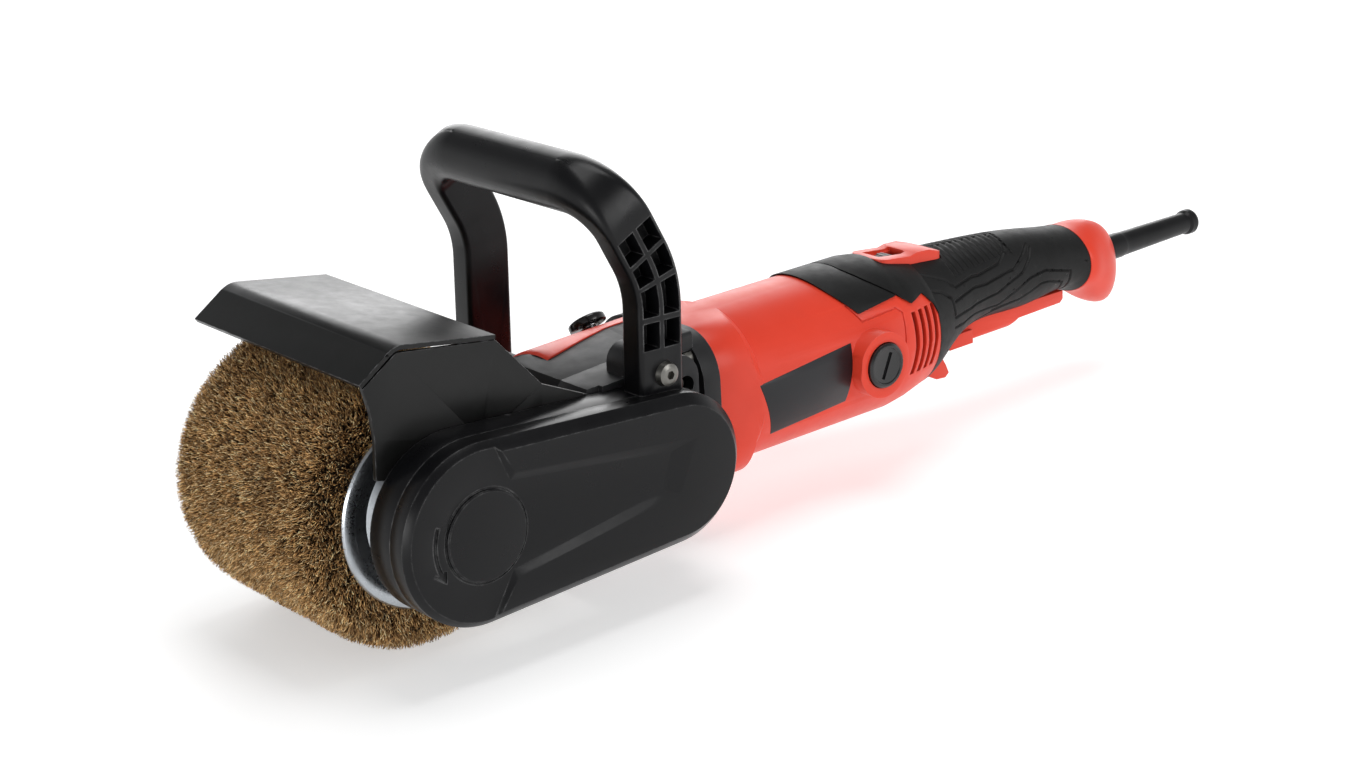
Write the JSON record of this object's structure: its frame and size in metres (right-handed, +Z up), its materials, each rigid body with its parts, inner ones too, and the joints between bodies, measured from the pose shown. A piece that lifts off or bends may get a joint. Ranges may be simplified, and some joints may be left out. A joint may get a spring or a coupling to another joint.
{
  "type": "drum burnishing machine",
  "caption": "Hand-held drum burnishing machine: motor and rear grip in line, gear head, side belt case, brass wire drum under a bent guard and a D-shaped front handle.",
  "frame": {"origin": "below the middle of the bounding box, at the height of the lowest point of the brush drum", "axes": "+Y back along the motor towards the cable sleeve, +X towards the belt case (the right-hand side of a user behind it), +Z up"},
  "size_m": [0.1464, 0.56, 0.1876],
  "materials": {
    "case_black": "satin moulded, slightly grained",
    "cast_grey": "die casting with satin dark grey paint",
    "guard_black": "satin black powder coat",
    "housing_red": "satin moulded",
    "grip_rubber": "matt, ribbed",
    "sleeve_rubber": "satin",
    "cap_black": "glossy",
    "label_grey": "satin film",
    "dial_grey": "matt",
    "brass_wire": "crinkled wire",
    "zinc_steel": "zinc plated",
    "machined_steel": "turned and ground",
    "screw_steel": "gunmetal",
    "belt_rubber": "ribbed, matt",
    "winding_copper": "enamelled copper wire",
    "laminated_iron": "stacked sheet",
    "carbon": "matt graphite",
    "inner_plastic": "plain moulded"
  },
  "bodies": {
    "body": {"armature_bearings": "machined_steel", "bearing_retainer": "zinc_steel", "belt_case_screws": "screw_steel", "belt_cover": "case_black", "belt_housing": "case_black", "brush_caps": "cap_black", "brush_holders": "inner_plastic", "brush_springs": "machined_steel", "cable_clamp": "inner_plastic", "cable_sleeve": "sleeve_rubber", "carbon_brushes": "carbon", "d_handle": "case_black", "drive_belt": "belt_rubber", "field_coils": "winding_copper", "finger_hook": "housing_red", "gear_head_shroud": "housing_red", "gear_housing": "cast_grey", "gear_housing_screws": "screw_steel", "grip_overmold_left": "grip_rubber", "grip_overmold_right": "grip_rubber", "grip_screws": "screw_steel", "guard_sheet": "guard_black", "guard_side_plate": "guard_black", "handle_bolts": "screw_steel", "handle_shell_left": "case_black", "handle_shell_right": "case_black", "housing_top_pad": "grip_rubber", "motor_housing": "housing_red", "output_housing": "cast_grey", "rear_cap": "housing_red", "side_label_plates": "label_grey", "speed_dial_bezel": "housing_red", "speed_module": "inner_plastic", "spindle_bearings": "machined_steel", "spindle_lock_spring": "machined_steel", "stator_core": "laminated_iron", "switch_module": "inner_plastic", "trigger_pin": "machined_steel", "trigger_spring": "machined_steel"},
    "drum": {"drum_spindle": "machined_steel", "spindle_key": "machined_steel", "drum_core": "zinc_steel", "bristle_pack": "brass_wire", "drum_flanges": "zinc_steel", "drum_bolt": "zinc_steel", "drum_pulley": "machined_steel", "drum_pulley_nut": "zinc_steel"},
    "output": {"output_spindle": "machined_steel", "crown_gear": "machined_steel", "drive_pulley": "machined_steel", "drive_pulley_nut": "zinc_steel"},
    "armature": {"armature_shaft": "machined_steel", "armature_core": "laminated_iron", "armature_windings": "winding_copper", "commutator": "winding_copper", "cooling_fan": "inner_plastic", "bevel_pinion": "machined_steel"},
    "trigger": {"trigger": "housing_red"},
    "speed_dial": {"speed_dial": "dial_grey"},
    "lock": {"spindle_lock_button": "cap_black"}
  },
  "joints": [
    {"name": "drum_spin", "type": "hinge", "parent": "body", "child": "drum", "pos_m": [0, -0.22, 0.06], "axis": [1, 0, 0], "continuous": true},
    {"name": "output_spin", "type": "hinge", "parent": "body", "child": "output", "pos_m": [0, -0.123, 0.058], "axis": [1, 0, 0], "continuous": true},
    {"name": "armature_spin", "type": "hinge", "parent": "body", "child": "armature", "pos_m": [0, 0, 0.058], "axis": [0, 1, 0], "continuous": true},
    {"name": "trigger_pull", "type": "hinge", "parent": "body", "child": "trigger", "pos_m": [0, 0.103, 0.0414], "axis": [1, 0, 0], "range_deg": [0, 4.5], "stiffness_Nm_per_rad": 0.8, "springref_deg": -17.19, "deforming": ["trigger_spring"]},
    {"name": "dial_turn", "type": "hinge", "parent": "body", "child": "speed_dial", "pos_m": [0, 0.062, 0.0846], "axis": [1, 0, 0], "range_deg": [-135, 135]},
    {"name": "lock_press", "type": "slide", "parent": "body", "child": "lock", "axis": [0.6157, 0, -0.788], "range_m": [0, 0.003], "stiffness_N_per_m": 500, "springref_m": -0.003, "deforming": ["spindle_lock_spring"]}
  ],
  "couplings": [
    {"joint": "output_spin", "follows": "drum_spin", "ratio": 1.3333},
    {"joint": "armature_spin", "follows": "drum_spin", "ratio": -5.3333}
  ]
}
